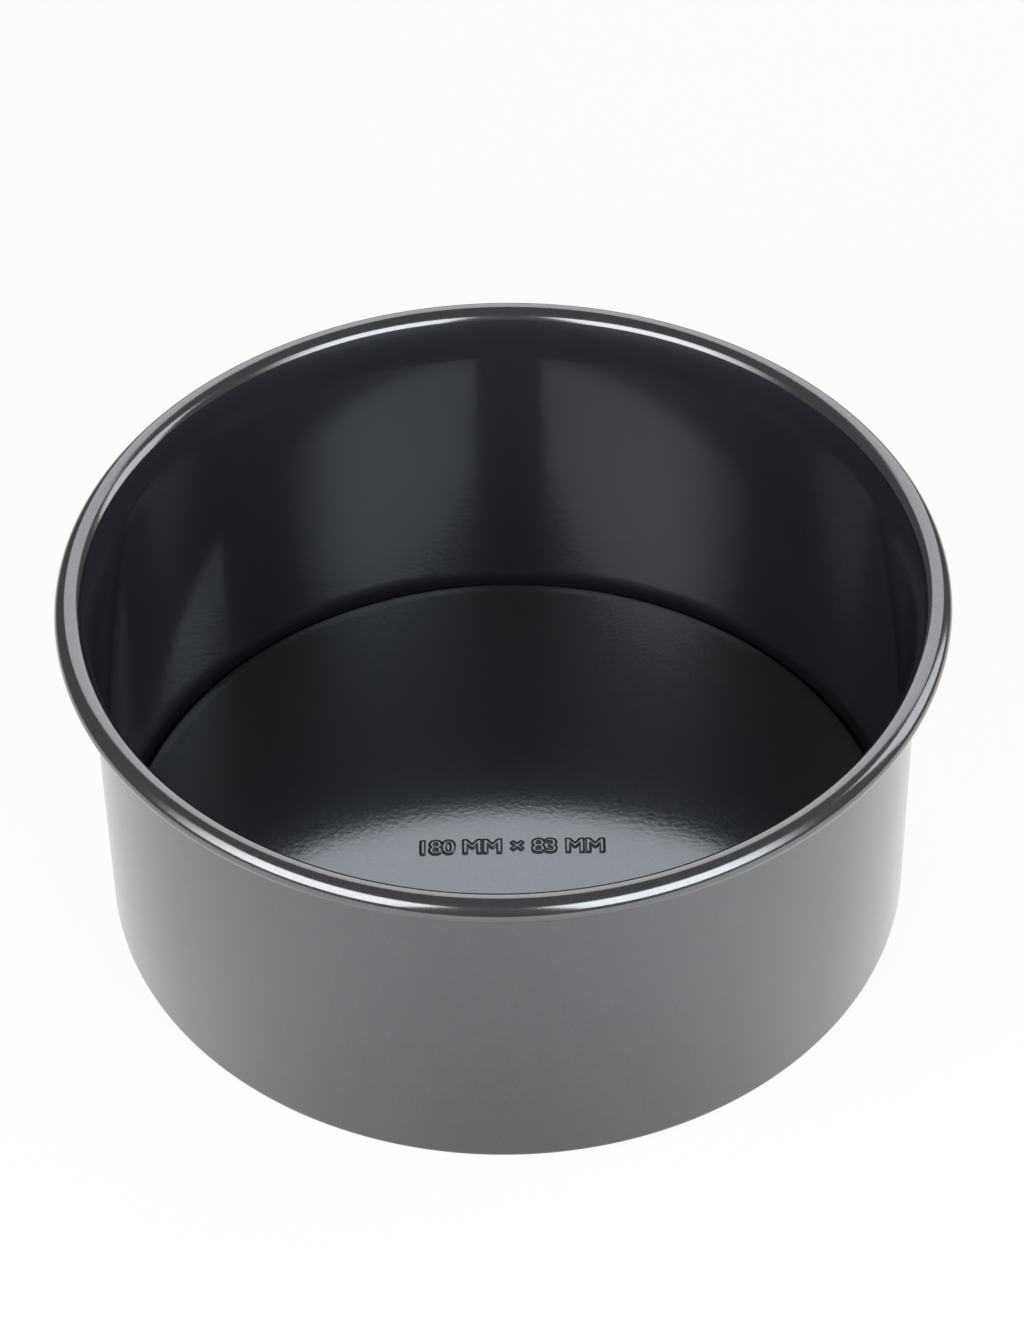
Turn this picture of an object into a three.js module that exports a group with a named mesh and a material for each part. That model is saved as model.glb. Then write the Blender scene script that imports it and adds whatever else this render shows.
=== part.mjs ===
// Deep round cake tin with a loose base, in millimetres, +Z up.
// The tin stands on z = 0 and its axis is the Z axis.
// The side wall is one drawn steel ring. Its top edge leans out and is rolled round a steel wire,
// and its bottom edge turns in as a narrow ledge.
// The loose base is a disc with a turned-down edge. It rests on the ledge and is pushed up from below.

import * as THREE from "three";

// Side wall
const INSIDE_DIAMETER = 180; // cake size, between the inner faces of the wall
const HEIGHT = 86; // from the surface that the tin stands on to the top of the rim
const SHEET = 0.8; // thickness of the coated steel sheet, on the wall and on the base
const LEDGE_WIDTH = 8; // from the inner face of the wall to the free edge of the ledge
const CORNER_RADIUS = 0.8; // inside radius of the bend between the wall and the ledge

// Rolled rim
const WIRE_DIAMETER = 3.8;
const WIRE_CLEARANCE = 0.3; // between the wire and the sheet that is rolled round it
const RIM_FLARE = 1.5; // how far the inner face leans out before it meets the roll
const FLARE_RADIUS = 30; // bend that leads the inner face from the wall into the roll
const ROLL_GAP = 0.4; // slit between the free edge of the roll and the outside of the wall

// Loose base
const BASE_CLEARANCE = 0.2; // between the edge of the base and the start of the corner bend
const BASE_SKIRT = 1.1; // straight length of the turned-down edge
const EDGE_RADIUS = 0.4; // inside radius of the turned-down edge
const SHOULDER_RADIUS = 12; // gentle fall of the flat panel just inside the turned-down edge
const SHOULDER_ANGLE = 10; // slope in degrees at the end of that fall

// Facets
const RING_FACETS = 64; // round the axis
const BEND_FACET = 16; // largest turn of one facet of a bend, in degrees

const degrees = THREE.MathUtils.degToRad;

// A point of a cross-section, as radius and height.
function at(radius, height) {
  return new THREE.Vector2(radius, height);
}

// The point at an angle on a circle, with 0 pointing away from the axis and a quarter turn pointing up.
function onCircle(centre, radius, angle) {
  return at(centre.x + radius * Math.cos(angle), centre.y + radius * Math.sin(angle));
}

// The angles at which a bend is divided into facets. Each quarter turn is divided by itself,
// so that the topmost, outermost and lowest points of a round edge are exact.
function bendAngles({ from, to }) {
  const quarter = Math.PI / 2;
  const low = Math.min(from, to);
  const high = Math.max(from, to);
  const stops = [low];
  for (let turn = Math.floor(low / quarter) + 1; turn * quarter < high; turn += 1) {
    stops.push(turn * quarter);
  }
  stops.push(high);
  const angles = [low];
  for (let i = 1; i < stops.length; i += 1) {
    const facets = Math.ceil((stops[i] - stops[i - 1]) / degrees(BEND_FACET));
    for (let k = 1; k <= facets; k += 1) {
      angles.push(THREE.MathUtils.lerp(stops[i - 1], stops[i], k / facets));
    }
  }
  return from < to ? angles : angles.reverse();
}

// One face of a bent sheet: the points of each bend at the radius that this face has there.
// The sheet runs straight from one bend to the next.
function bentFace(bends, face) {
  return bends.flatMap((bend) =>
    bendAngles(bend).map((angle) => onCircle(bend.centre, bend[face], angle)),
  );
}

// A cross-section turned round the Z axis.
function turned(section) {
  return new THREE.LatheGeometry(section, RING_FACETS).rotateX(Math.PI / 2);
}

function piece(name, geometry, look) {
  const mesh = new THREE.Mesh(geometry, new THREE.MeshStandardMaterial(look));
  mesh.name = name;
  return mesh;
}

// The roll: its outside radius follows from the wire inside it, and its centre from the wall and the flare.
const insideRadius = INSIDE_DIAMETER / 2;
const boreRadius = WIRE_DIAMETER / 2 + WIRE_CLEARANCE;
const rollRadius = boreRadius + SHEET;
const rollCentre = at(insideRadius + RIM_FLARE + rollRadius, HEIGHT - rollRadius);

// The flare is an arc that leaves the wall upright and meets the roll where their slopes agree.
const centreSpan = FLARE_RADIUS - rollRadius;
const meetAngle = Math.PI / 2 + Math.asin((centreSpan - RIM_FLARE) / centreSpan);
const flareCentre = onCircle(rollCentre, -centreSpan, meetAngle);

// The free edge of the roll stops where the roll would come nearer to the wall than the slit.
const slitReach = FLARE_RADIUS - SHEET - ROLL_GAP;
const slitCosine = (slitReach ** 2 - centreSpan ** 2 - rollRadius ** 2) / (2 * rollRadius * centreSpan);
const rollTurn = 2 * Math.PI - Math.acos(slitCosine);

// The side wall from the free edge of the ledge to the free edge of the roll.
// Its upper face on the ledge is the inner face of the wall and the outside of the roll.
function sideWall() {
  const bends = [
    {
      centre: at(insideRadius - CORNER_RADIUS, SHEET + CORNER_RADIUS),
      from: -Math.PI / 2,
      to: 0,
      inside: CORNER_RADIUS,
      outside: CORNER_RADIUS + SHEET,
    },
    {
      centre: flareCentre,
      from: Math.PI,
      to: meetAngle,
      inside: FLARE_RADIUS,
      outside: FLARE_RADIUS - SHEET,
    },
    {
      centre: rollCentre,
      from: meetAngle,
      to: meetAngle - rollTurn,
      inside: rollRadius,
      outside: boreRadius,
    },
  ];
  const ledgeRadius = insideRadius - LEDGE_WIDTH;
  const inside = [at(ledgeRadius, SHEET), ...bentFace(bends, "inside")];
  const outside = [at(ledgeRadius, 0), ...bentFace(bends, "outside")];
  return turned([...outside, ...inside.reverse(), outside[0]]);
}

// The wire is bent into a ring that lies in the middle of the roll.
function rimWire() {
  const wireFacets = Math.ceil(360 / BEND_FACET);
  return new THREE.TorusGeometry(rollCentre.x, WIRE_DIAMETER / 2, wireFacets, RING_FACETS);
}

// The loose base, with its underside open. The height of its panel follows from its skirt and its bends.
function looseBase() {
  const edge = EDGE_RADIUS + SHEET;
  const slope = Math.PI / 2 - degrees(SHOULDER_ANGLE);
  const baseRadius = insideRadius - CORNER_RADIUS - BASE_CLEARANCE;
  const edgeCentre = at(baseRadius - edge, SHEET + BASE_SKIRT);
  const shoulderCentre = onCircle(edgeCentre, edge - SHOULDER_RADIUS, slope);
  const panelTop = shoulderCentre.y + SHOULDER_RADIUS;
  const bends = [
    {
      centre: shoulderCentre,
      from: Math.PI / 2,
      to: slope,
      top: SHOULDER_RADIUS,
      under: SHOULDER_RADIUS - SHEET,
    },
    { centre: edgeCentre, from: slope, to: 0, top: edge, under: EDGE_RADIUS },
  ];
  const top = [at(0, panelTop), ...bentFace(bends, "top"), at(baseRadius, SHEET)];
  const under = [at(0, panelTop - SHEET), ...bentFace(bends, "under"), at(baseRadius - SHEET, SHEET)];
  return turned([...under, ...top.reverse()]);
}

const tin = new THREE.Group();
tin.add(piece("side_wall", sideWall(), { color: 0x43464a, roughness: 0.32, metalness: 0.85 }));

const wire = piece("rim_wire", rimWire(), { color: 0xb4b6b8, roughness: 0.35, metalness: 1 });
wire.position.z = rollCentre.y;
tin.add(wire);

tin.add(piece("loose_base", looseBase(), { color: 0x3b3e42, roughness: 0.28, metalness: 0.85 }));

export default tin;
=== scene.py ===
# Deep round cake tin with a loose base, in metres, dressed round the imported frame.
# The rolled wall, the wire in its rim and the loose base are turned from their cross-sections.
import math

import bmesh
import bpy
import numpy as np
from mathutils import Matrix, Vector


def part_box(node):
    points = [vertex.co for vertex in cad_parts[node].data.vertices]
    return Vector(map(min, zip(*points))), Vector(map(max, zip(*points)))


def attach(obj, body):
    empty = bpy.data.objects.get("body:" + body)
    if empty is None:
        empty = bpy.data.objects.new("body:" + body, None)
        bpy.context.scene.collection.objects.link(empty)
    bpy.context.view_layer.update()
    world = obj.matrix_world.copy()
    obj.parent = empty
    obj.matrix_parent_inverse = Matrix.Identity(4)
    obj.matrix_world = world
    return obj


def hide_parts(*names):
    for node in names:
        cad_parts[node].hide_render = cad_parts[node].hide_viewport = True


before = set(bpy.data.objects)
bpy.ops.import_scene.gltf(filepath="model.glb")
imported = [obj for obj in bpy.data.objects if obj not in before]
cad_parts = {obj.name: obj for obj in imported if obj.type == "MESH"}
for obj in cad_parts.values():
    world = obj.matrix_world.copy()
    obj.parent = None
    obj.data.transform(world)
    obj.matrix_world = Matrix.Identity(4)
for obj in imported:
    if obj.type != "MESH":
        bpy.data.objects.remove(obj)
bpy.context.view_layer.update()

MM = 0.001

# Sizes that the frame gives
wall_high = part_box("side_wall")[1]
wire_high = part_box("rim_wire")[1]
base_low, base_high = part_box("loose_base")
rim_radius = wall_high.x
height = wall_high.z
sheet = base_low.z  # the base stands on the ledge, which is one sheet thick
base_radius = base_high.x
panel_top = base_high.z

# Bends of the side wall
ROLL_RADIUS = 3.0 * MM
RIM_FLARE = 1.5 * MM  # how far the inner face leans out before it meets the roll
FLARE_RADIUS = 30 * MM
ROLL_GAP = 0.4 * MM  # slit between the free edge of the roll and the wall
CORNER_RADIUS = 0.8 * MM
LEDGE_WIDTH = 8 * MM

# Bends of the loose base
EDGE_RADIUS = 0.4 * MM
SHOULDER_RADIUS = 12 * MM
SHOULDER_SLOPE = math.radians(10)

# Size mark pressed up in the middle of the base
MARK = "180 MM × 83 MM"
MARK_CENTRE = Vector((1.1 * MM, -1.4 * MM))
MARK_WIDTH = 42 * MM
MARK_HEIGHT = 4.1 * MM
MARK_RISE = 0.3 * MM
MARK_SWELL = 0.2 * MM  # how far the strokes spread beyond the thin letter shapes
MARK_SLOPE = 0.6 * MM  # width of the slope round each stroke
MARK_FIELD = Vector((48 * MM, 10 * MM))  # finely divided part of the panel that holds the mark
MARK_PITCH = 0.14 * MM

# Slight crown in the middle of the base, under the mark
CROWN_RISE = 0.44 * MM
CROWN_RADIUS = 44 * MM
CROWN_FIELD = Vector((92 * MM, 92 * MM))  # divided part of the panel that holds the crown and the mark
CROWN_PITCH = 3 * MM
CROWN_RING = 70 * MM  # radius of the ring that joins this field to the turned panel

# Fineness of the meshes
RING_STEPS = 288
BEND_STEP = math.radians(4)
SHARP_EDGE = math.radians(35)
SAME_POINT = 1e-7
GUARD = 0.4 * MM  # distance of the extra loops that keep flat faces flat beside a bend

# Camera, fitted to the outlines of the rim and of the bottom edge
IMAGE_HEIGHT_PIXELS = 1331
FOCAL_PIXELS = 4165.4
SENSOR = 36
CAMERA_AIM = Vector((1.69 * MM, 0, 60.1 * MM))
CAMERA_DISTANCE = 922.7 * MM
CAMERA_ELEVATION = math.radians(43.804)
CAMERA_ROLL = math.radians(-0.94)


def on_circle(centre, radius, angle):
    """The point at an angle on a circle in a cross-section of radius and height."""
    return centre + radius * Vector((math.cos(angle), math.sin(angle)))


def bend(centre, radius, start, end):
    """The points of a bend, with both of its ends."""
    steps = math.ceil(abs(end - start) / BEND_STEP)
    return [on_circle(centre, radius, start + (end - start) * i / steps) for i in range(steps + 1)]


def straight(start, end):
    """The ends of a straight run, each with a guard point beside it."""
    guard = (end - start).normalized() * GUARD
    return [start, start + guard, end - guard, end]


def joined(*runs):
    """One line of points from runs that may share their end points."""
    points = []
    for point in (p for run in runs for p in run):
        if not points or (point - points[-1]).length > SAME_POINT:
            points.append(point)
    return points


def turn(mesh, lines, closed):
    """Turn lines of points round the Z axis. Each line comes with the index of its material."""
    points = []
    looks = []
    for line, look in lines:
        start = 1 if points and (line[0] - points[-1]).length < SAME_POINT else 0
        for point in line[start:]:
            if points:
                looks.append(look)
            points.append(point)
    if closed:
        points.pop()
    rings = []
    for step in range(RING_STEPS):
        angle = math.tau * step / RING_STEPS
        across = Vector((math.cos(angle), math.sin(angle), 0))
        rings.append([mesh.verts.new(p.x * across + Vector((0, 0, p.y))) for p in points])
    for ring, following in zip(rings, rings[1:] + rings[:1]):
        for i, look in enumerate(looks):
            after = (i + 1) % len(points)
            face = mesh.faces.new((ring[i], following[i], following[after], ring[after]))
            face.material_index = look
    return rings


def piece(name, mesh, body, node, slot, *materials):
    """A finished piece that rides on a body and stands for a node."""
    bmesh.ops.recalc_face_normals(mesh, faces=mesh.faces)
    data = bpy.data.meshes.new(name)
    mesh.to_mesh(data)
    mesh.free()
    data.shade_smooth()
    data.set_sharp_from_angle(angle=SHARP_EDGE)
    for material in materials:
        data.materials.append(material)
    made = bpy.data.objects.new(name, data)
    bpy.context.scene.collection.objects.link(made)
    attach(made, body)
    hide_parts(node)


# Grain of the coating and of bare steel
GRAIN_SIZE = 0.35 * MM
BLOT_SIZE = 5 * MM
GRAIN_SHARE = 0.8  # the blots have the rest
GRAIN_RANGE = (0.3, 0.7)  # part of the noise that is used
COAT_SHADES = (0.9, 1.1)
COAT_GLOSS = (-0.02, 0.03)  # how far the grain shifts the roughness
STEEL_GRAIN = 0.3 * MM
STEEL_GLOSS = (-0.06, 0.06)
STEEL_COLOUR = (0.6, 0.6, 0.6, 1)


def add(tree, kind, inputs=None, **settings):
    """A new node, with its settings and with inputs that are values or linked sockets."""
    node = tree.nodes.new(kind)
    for name, value in settings.items():
        setattr(node, name, value)
    for key, value in (inputs or {}).items():
        if isinstance(value, bpy.types.NodeSocket):
            tree.links.new(value, node.inputs[key])
        else:
            node.inputs[key].default_value = value
    return node


def maths(tree, operation, first, second=0.0):
    node = add(tree, "ShaderNodeMath", {0: first, 1: second}, operation=operation)
    return node.outputs[0]


def fade(tree, value, start, end, low=0.0, high=1.0):
    """A smooth change from low, where the value is start, to high, where it is end."""
    inputs = {"Value": value, "From Min": start, "From Max": end, "To Min": low, "To Max": high}
    node = add(tree, "ShaderNodeMapRange", inputs, interpolation_type="SMOOTHSTEP")
    return node.outputs["Result"]


def noise(tree, place, size, detail=2.0):
    """A soft noise whose blots are about as wide as size."""
    inputs = {"Vector": place, "Scale": 1 / size, "Detail": detail}
    return add(tree, "ShaderNodeTexNoise", inputs).outputs["Fac"]


def coating(name, colour, roughness, peel_size, peel_depth, constants):
    """Graphite non-stick coating with a fine grain, faint blots and a slight orange peel."""
    material = bpy.data.materials.new(name)
    material.use_nodes = True
    tree = material.node_tree
    shader = tree.nodes["Principled BSDF"]
    place = add(tree, "ShaderNodeTexCoord").outputs["Object"]
    grain = noise(tree, place, GRAIN_SIZE)
    blots = noise(tree, place, BLOT_SIZE)
    peel = noise(tree, place, peel_size, 1.0)

    fine = maths(tree, "MULTIPLY", grain, GRAIN_SHARE)
    wide = maths(tree, "MULTIPLY", blots, 1 - GRAIN_SHARE)
    mixed = maths(tree, "ADD", fine, wide)
    ramp = add(tree, "ShaderNodeValToRGB", {"Fac": mixed})
    for stop, place_on_ramp, shade in zip(ramp.color_ramp.elements, GRAIN_RANGE, COAT_SHADES):
        stop.position = place_on_ramp
        stop.color = [shade * c for c in colour] + [1]
    tree.links.new(ramp.outputs["Color"], shader.inputs["Base Color"])

    gloss = fade(tree, grain, *GRAIN_RANGE, *(roughness + shift for shift in COAT_GLOSS))
    tree.links.new(gloss, shader.inputs["Roughness"])
    bumps = add(tree, "ShaderNodeBump", {"Height": peel, "Distance": peel_depth})
    tree.links.new(bumps.outputs["Normal"], shader.inputs["Normal"])
    for socket, value in constants.items():
        shader.inputs[socket].default_value = value
    return material


def bare_steel(name, roughness):
    """Uncoated steel with a fine grain."""
    material = bpy.data.materials.new(name)
    material.use_nodes = True
    tree = material.node_tree
    shader = tree.nodes["Principled BSDF"]
    place = add(tree, "ShaderNodeTexCoord").outputs["Object"]
    grain = noise(tree, place, STEEL_GRAIN)
    gloss = fade(tree, grain, *GRAIN_RANGE, *(roughness + shift for shift in STEEL_GLOSS))
    tree.links.new(gloss, shader.inputs["Roughness"])
    shader.inputs["Base Color"].default_value = STEEL_COLOUR
    shader.inputs["Metallic"].default_value = 1.0
    return material


# Colour, roughness, and size and depth of the orange peel of each coating
BASE_COLOUR = (0.178, 0.194, 0.212)
base_coat = coating("base_coat", BASE_COLOUR, 0.11, 1.2 * MM, 0.0105 * MM, {"Metallic": 0.9})
edge_coat = coating("edge_coat", BASE_COLOUR, 0.24, 1.2 * MM, 0.0105 * MM, {"Metallic": 0.9})
rim_coat = coating("rim_coat", (0.209, 0.211, 0.222), 0.14, 2.2 * MM, 0.004 * MM, {"Metallic": 0.94})
# The inner face of the wall gets a much darker, weakly mirroring copy of the coating that the roll and the
# base carry: painted shade that keeps the reflections on the inner wall dim
shaded_wall_coat = coating(
    "shaded_wall_coat", (0.0182, 0.0184, 0.0255), 0.3, 2.2 * MM, 0.006 * MM,
    {"IOR": 1.45, "Coat Weight": 0.8, "Coat Roughness": 0.04},
)
outer_coat = coating(
    "outer_coat", (0.152, 0.149, 0.164), 0.38, 1.2 * MM, 0.004 * MM,
    {"Metallic": 1.0, "Coat Weight": 1.0, "Coat Roughness": 0.18},
)
cut_edge = bare_steel("cut_edge", 0.4)
wire_steel = bare_steel("wire_steel", 0.3)

# Side wall

inside_radius = rim_radius - 2 * ROLL_RADIUS - RIM_FLARE
roll_centre = Vector((rim_radius - ROLL_RADIUS, height - ROLL_RADIUS))
centre_span = FLARE_RADIUS - ROLL_RADIUS
meet_angle = math.pi / 2 + math.asin((centre_span - RIM_FLARE) / centre_span)
flare_centre = on_circle(roll_centre, -centre_span, meet_angle)
slit_reach = FLARE_RADIUS - sheet - ROLL_GAP
slit_cosine = (slit_reach**2 - centre_span**2 - ROLL_RADIUS**2) / (2 * ROLL_RADIUS * centre_span)
roll_turn = math.tau - math.acos(slit_cosine)


def wall_face(ledge_level, depth):
    """One face of the wall's sheet, this deep below its inner face: the upright part and the roll."""
    corner_centre = Vector((inside_radius - CORNER_RADIUS, sheet + CORNER_RADIUS))
    corner = bend(corner_centre, CORNER_RADIUS + depth, -math.pi / 2, 0)
    flare = bend(flare_centre, FLARE_RADIUS - depth, math.pi, meet_angle)
    roll = bend(roll_centre, ROLL_RADIUS - depth, meet_angle, meet_angle - roll_turn)
    ledge_edge = Vector((inside_radius - LEDGE_WIDTH, ledge_level))
    upright = joined(straight(ledge_edge, corner[0]), corner, straight(corner[-1], flare[0]), flare)
    return upright, roll


def make_wall():
    inner, roll = wall_face(sheet, 0)
    outer, bore = wall_face(0, sheet)
    mesh = bmesh.new()
    roll_edge = [roll[-1], bore[-1]]
    ledge_edge = [outer[0], inner[0]]
    back = joined(outer, bore)[::-1]
    turn(mesh, [(inner, 0), (roll, 1), (roll_edge, 3), (back, 2), (ledge_edge, 3)], closed=True)
    looks = (shaded_wall_coat, rim_coat, outer_coat, cut_edge)
    piece("rolled_wall", mesh, "tin", "side_wall", "wall_coating", *looks)


def make_wire():
    wire_radius = wire_high.x - roll_centre.x
    mesh = bmesh.new()
    turn(mesh, [(bend(roll_centre, wire_radius, 0, math.tau), 0)], closed=True)
    piece("wire_ring", mesh, "tin", "rim_wire", "wire_steel", wire_steel)


# Loose base


def mark_outlines():
    """The outlines of the mark as the start and end points of their edges, about its centre."""
    curve = bpy.data.curves.new("mark_outlines", "FONT")
    curve.body = MARK
    curve.fill_mode = "NONE"
    text = bpy.data.objects.new("mark_outlines", curve)
    outlines = text.to_mesh()
    points = np.array([v.co[:2] for v in outlines.vertices])
    edges = np.array([e.vertices[:] for e in outlines.edges])
    text.to_mesh_clear()
    bpy.data.objects.remove(text)
    bpy.data.curves.remove(curve)
    low = points.min(axis=0)
    high = points.max(axis=0)
    points = (points - (low + high) / 2) * (np.array((MARK_WIDTH, MARK_HEIGHT)) / (high - low))
    return points[edges[:, 0]], points[edges[:, 1]]


def mark_rise(places):
    """How far the pressed mark lifts the panel at each place about the mark's centre."""
    distance = np.full(len(places), np.inf)
    inside = np.zeros(len(places), dtype=bool)
    for start, end in zip(*mark_outlines()):
        along = end - start
        offset = places - start
        share = np.clip(offset @ along / (along @ along), 0, 1)
        distance = np.minimum(distance, np.linalg.norm(offset - share[:, None] * along, axis=1))
        if start[1] != end[1]:
            crossed = (start[1] > places[:, 1]) != (end[1] > places[:, 1])
            crossing = start[0] + (places[:, 1] - start[1]) * along[0] / along[1]
            inside ^= crossed & (places[:, 0] < crossing)
    outside = np.where(inside, -distance, distance) - MARK_SWELL
    share = np.clip(0.5 - outside / MARK_SLOPE, 0, 1)
    return MARK_RISE * share * share * (3 - 2 * share)


def crown_rise(places):
    """How far the crown lifts the panel at each place about the mark's centre."""
    radius = np.linalg.norm(places + np.array(MARK_CENTRE), axis=1)
    share = np.clip(radius / CROWN_RADIUS, 0, 1)
    return CROWN_RISE * (1 + np.cos(math.pi * share)) / 2


def field_lines(fine, whole):
    """Places of the lines of a grid, close together over the mark and wider apart beside it."""
    middle = np.linspace(-fine / 2, fine / 2, round(fine / MARK_PITCH) + 1)
    beside = np.linspace(fine / 2, whole / 2, round((whole - fine) / 2 / CROWN_PITCH) + 1)[1:]
    return np.concatenate((-beside[::-1], middle, beside))


def mark_panel(mesh, level, ring):
    """The middle of one face of the panel, with the crown and the mark, out to a ring of points."""
    across = field_lines(MARK_FIELD.x, CROWN_FIELD.x)
    up = field_lines(MARK_FIELD.y, CROWN_FIELD.y)
    columns = len(across) - 1
    rows = len(up) - 1
    places = np.array([(x, y) for y in up for x in across])
    rises = mark_rise(places) + crown_rise(places)
    points = []
    for (x, y), rise in zip(places, rises):
        points.append(mesh.verts.new((MARK_CENTRE.x + x, MARK_CENTRE.y + y, level + rise)))
    for row in range(rows):
        for column in range(columns):
            first = row * (columns + 1) + column
            above = first + columns + 1
            mesh.faces.new((points[first], points[first + 1], points[above + 1], points[above]))
    ring_edges = [mesh.edges.get((a, b)) for a, b in zip(ring, ring[1:] + ring[:1])]
    field_edges = dict.fromkeys(e for p in points for e in p.link_edges if e.is_boundary)
    bmesh.ops.triangle_fill(mesh, edges=ring_edges + list(field_edges), use_beauty=True)


def base_face(depth):
    """One face of the base's sheet: the panel outside the crown's ring, and the bent edge to its foot."""
    edge_centre = Vector((base_radius - sheet - EDGE_RADIUS, 0))
    slope = math.pi / 2 - SHOULDER_SLOPE
    shoulder_centre = on_circle(edge_centre, sheet + EDGE_RADIUS - SHOULDER_RADIUS, slope)
    lift = Vector((0, panel_top - SHOULDER_RADIUS - shoulder_centre.y))
    shoulder = bend(shoulder_centre + lift, SHOULDER_RADIUS - depth, math.pi / 2, slope)
    edge = bend(edge_centre + lift, sheet + EDGE_RADIUS - depth, slope, 0)
    ring = Vector((CROWN_RING, panel_top - depth))
    foot = Vector((base_radius - depth, base_low.z))
    return straight(ring, shoulder[0]), joined(shoulder, edge, straight(edge[-1], foot))


def make_base():
    top, top_edge = base_face(0)
    under, under_edge = base_face(sheet)
    foot = [top_edge[-1], under_edge[-1]]
    mesh = bmesh.new()
    lines = [(top, 0), (top_edge, 1), (foot, 2), (under_edge[::-1], 1), (under[::-1], 0)]
    rings = turn(mesh, lines, closed=False)
    mark_panel(mesh, panel_top, [points[0] for points in rings])
    mark_panel(mesh, panel_top - sheet, [points[-1] for points in rings])
    looks = (base_coat, edge_coat, cut_edge)
    piece("pressed_base", mesh, "base", "loose_base", "base_coating", *looks)


make_wall()
make_wire()
make_base()

# Studio: a white table and four soft lamps in a dim room

TABLE_LOW = Vector((-0.3, -0.28))
TABLE_HIGH = Vector((0.3, 0.5))
TABLE_LEVEL = -0.05 * MM  # just clear of the underside of the ledge
TABLE_PAPER = (0.9, 0.9, 0.9, 1)
ROOM = 0.18  # brightness of the room, where white is 1
TABLE_SHOWN_WHITE = 0.93  # share of plain white in the table as the camera sees it

# Painted shade on the table as the glossy coating mirrors it: a painted shadow, darkest at the foot of the
# tin, and painted shade that makes it lower to the left
TABLE_PAINTED_SHADOW = (0, -0.09, 0)
TABLE_PAINTED_SHADOW_REACH = 0.1
TABLE_PAINTED_SHADOW_LEVEL = 0.68
TABLE_LEFT_SHADE_RANGE = (-0.2, 0.1)
TABLE_LEFT_SHADE_LEVEL = 0.9

FRONT_LAMP_DISTANCE = 0.5
BACK_LAMP_DISTANCE = 1.2


def make_table():
    mesh = bmesh.new()
    near_right = (TABLE_HIGH.x, TABLE_LOW.y)
    far_left = (TABLE_LOW.x, TABLE_HIGH.y)
    corners = (TABLE_LOW, near_right, TABLE_HIGH, far_left)
    mesh.faces.new([mesh.verts.new((x, y, TABLE_LEVEL)) for x, y in corners])
    data = bpy.data.meshes.new("table")
    mesh.to_mesh(data)
    mesh.free()
    material = bpy.data.materials.new("white_table")
    material.use_nodes = True
    tree = material.node_tree
    tree.nodes.clear()
    rays = add(tree, "ShaderNodeLightPath")
    seen = maths(tree, "MULTIPLY", rays.outputs["Is Camera Ray"], TABLE_SHOWN_WHITE)
    mirrored = maths(tree, "MAXIMUM", rays.outputs["Is Glossy Ray"], rays.outputs["Is Transmission Ray"])
    place = add(tree, "ShaderNodeTexCoord").outputs["Object"]
    parts = add(tree, "ShaderNodeSeparateXYZ", {0: place})
    # Painted shadow at the foot of the tin and painted shade to the left, in the glow that mirrored rays
    # meet
    to_painted_shadow = add(tree, "ShaderNodeVectorMath", {0: place, 1: TABLE_PAINTED_SHADOW}, operation="DISTANCE")
    painted_shade = maths(
        tree, "MULTIPLY",
        fade(tree, to_painted_shadow.outputs["Value"], 0, TABLE_PAINTED_SHADOW_REACH, TABLE_PAINTED_SHADOW_LEVEL, 1.0),
        fade(tree, parts.outputs["X"], *TABLE_LEFT_SHADE_RANGE, TABLE_LEFT_SHADE_LEVEL, 1.0),
    )
    strength = maths(tree, "MAXIMUM", painted_shade, rays.outputs["Is Camera Ray"])
    white = add(tree, "ShaderNodeEmission", {"Color": (1, 1, 1, 1), "Strength": strength})
    paper = add(tree, "ShaderNodeBsdfDiffuse", {"Color": TABLE_PAPER})
    share = maths(tree, "MAXIMUM", seen, mirrored)
    mixed = add(tree, "ShaderNodeMixShader", {0: share, 1: paper.outputs[0], 2: white.outputs[0]})
    add(tree, "ShaderNodeOutputMaterial", {"Surface": mixed.outputs[0]})
    data.materials.append(material)
    table = bpy.data.objects.new("table", data)
    bpy.context.scene.collection.objects.link(table)


def make_world():
    """White to the camera. Other rays meet a dim room."""
    world = bpy.data.worlds.new("studio")
    bpy.context.scene.world = world
    world.use_nodes = True
    tree = world.node_tree
    tree.nodes.clear()
    shown = add(tree, "ShaderNodeLightPath").outputs["Is Camera Ray"]
    strength = maths(tree, "MAXIMUM", shown, ROOM)
    glow = add(tree, "ShaderNodeBackground", {"Color": (1, 1, 1, 1), "Strength": strength})
    add(tree, "ShaderNodeOutputWorld", {"Surface": glow.outputs[0]})


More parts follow.
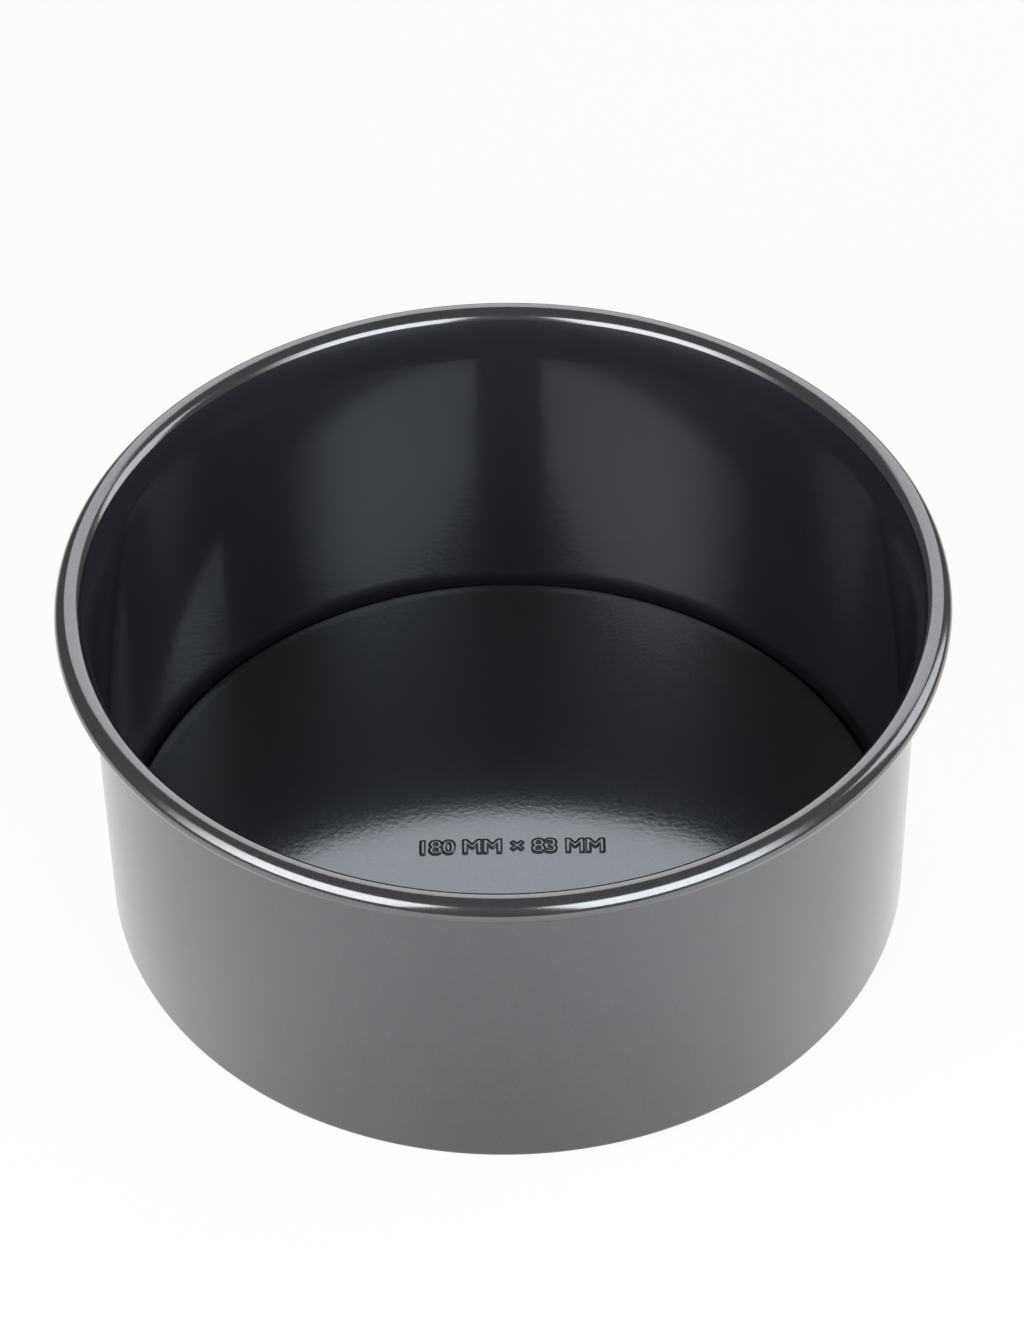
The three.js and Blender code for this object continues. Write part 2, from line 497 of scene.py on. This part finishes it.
def softbox(name, azimuths, elevations, distance, brightness, colour, dim_part=None):
    """A lamp that fills a range of azimuths and a range of elevations, as seen from the middle of the rim.

    Both are in degrees, and azimuths run from the camera to the right. The dim part is where the lamp
    is dark and where it is full, as shares of its width from its lower azimuth to its higher one.
    """
    azimuth = math.radians(sum(azimuths) / 2)
    elevation = math.radians(sum(elevations) / 2)
    width = 2 * distance * math.cos(elevation) * math.tan(math.radians(azimuths[1] - azimuths[0]) / 2)
    tall = 2 * distance * math.tan(math.radians(elevations[1] - elevations[0]) / 2)
    away = Vector((
        math.sin(azimuth) * math.cos(elevation),
        -math.cos(azimuth) * math.cos(elevation),
        math.sin(elevation),
    ))
    data = bpy.data.lights.new(name, "AREA")
    data.shape = "RECTANGLE"
    data.size = width
    data.size_y = tall
    data.energy = math.pi * width * tall * brightness
    data.color = colour
    if dim_part:
        data.use_nodes = True
        tree = data.node_tree
        place = add(tree, "ShaderNodeNewGeometry").outputs["Parametric"]
        across = add(tree, "ShaderNodeSeparateXYZ", {0: place}).outputs["X"]
        tree.links.new(fade(tree, across, *dim_part), tree.nodes["Emission"].inputs["Strength"])
    lamp = bpy.data.objects.new(name, data)
    lamp.location = Vector((0, 0, height)) + distance * away
    lamp.rotation_euler = away.to_track_quat("Z", "Y").to_euler()
    bpy.context.scene.collection.objects.link(lamp)


def make_camera():
    cosine = math.cos(CAMERA_ELEVATION)
    sine = math.sin(CAMERA_ELEVATION)
    back = Vector((0, -cosine, sine))
    level_up = Vector((0, sine, cosine))
    level_right = Vector((1, 0, 0))
    right = math.cos(CAMERA_ROLL) * level_right + math.sin(CAMERA_ROLL) * level_up
    up = math.cos(CAMERA_ROLL) * level_up - math.sin(CAMERA_ROLL) * level_right
    data = bpy.data.cameras.new("camera")
    data.sensor_width = SENSOR
    data.lens = FOCAL_PIXELS * SENSOR / IMAGE_HEIGHT_PIXELS
    camera = bpy.data.objects.new("camera", data)
    turned = Matrix((right, up, back)).transposed().to_4x4()
    camera.matrix_world = Matrix.Translation(CAMERA_AIM + CAMERA_DISTANCE * back) @ turned
    bpy.context.scene.collection.objects.link(camera)
    bpy.context.scene.camera = camera


make_table()
make_world()
# Azimuths, elevations, distance, brightness, colour and dim part of each lamp
softbox("front_left_lamp", (-83, -18), (1, 44.2), FRONT_LAMP_DISTANCE, 4.1, (1.0, 0.975, 0.98), (0, 0.5))
softbox("front_right_lamp", (11.5, 70), (1, 42.9), FRONT_LAMP_DISTANCE, 4.0, (0.95, 1.0, 1.0), (1, 0.55))
softbox("right_lamp", (95, 124), (1, 42.3), BACK_LAMP_DISTANCE, 2.1, (0.96, 1.0, 1.0))
softbox("back_lamp", (142, 209), (1, 52), BACK_LAMP_DISTANCE, 1.4, (1.0, 1.0, 1.0))
make_camera()
bpy.context.scene.view_settings.view_transform = "Standard"
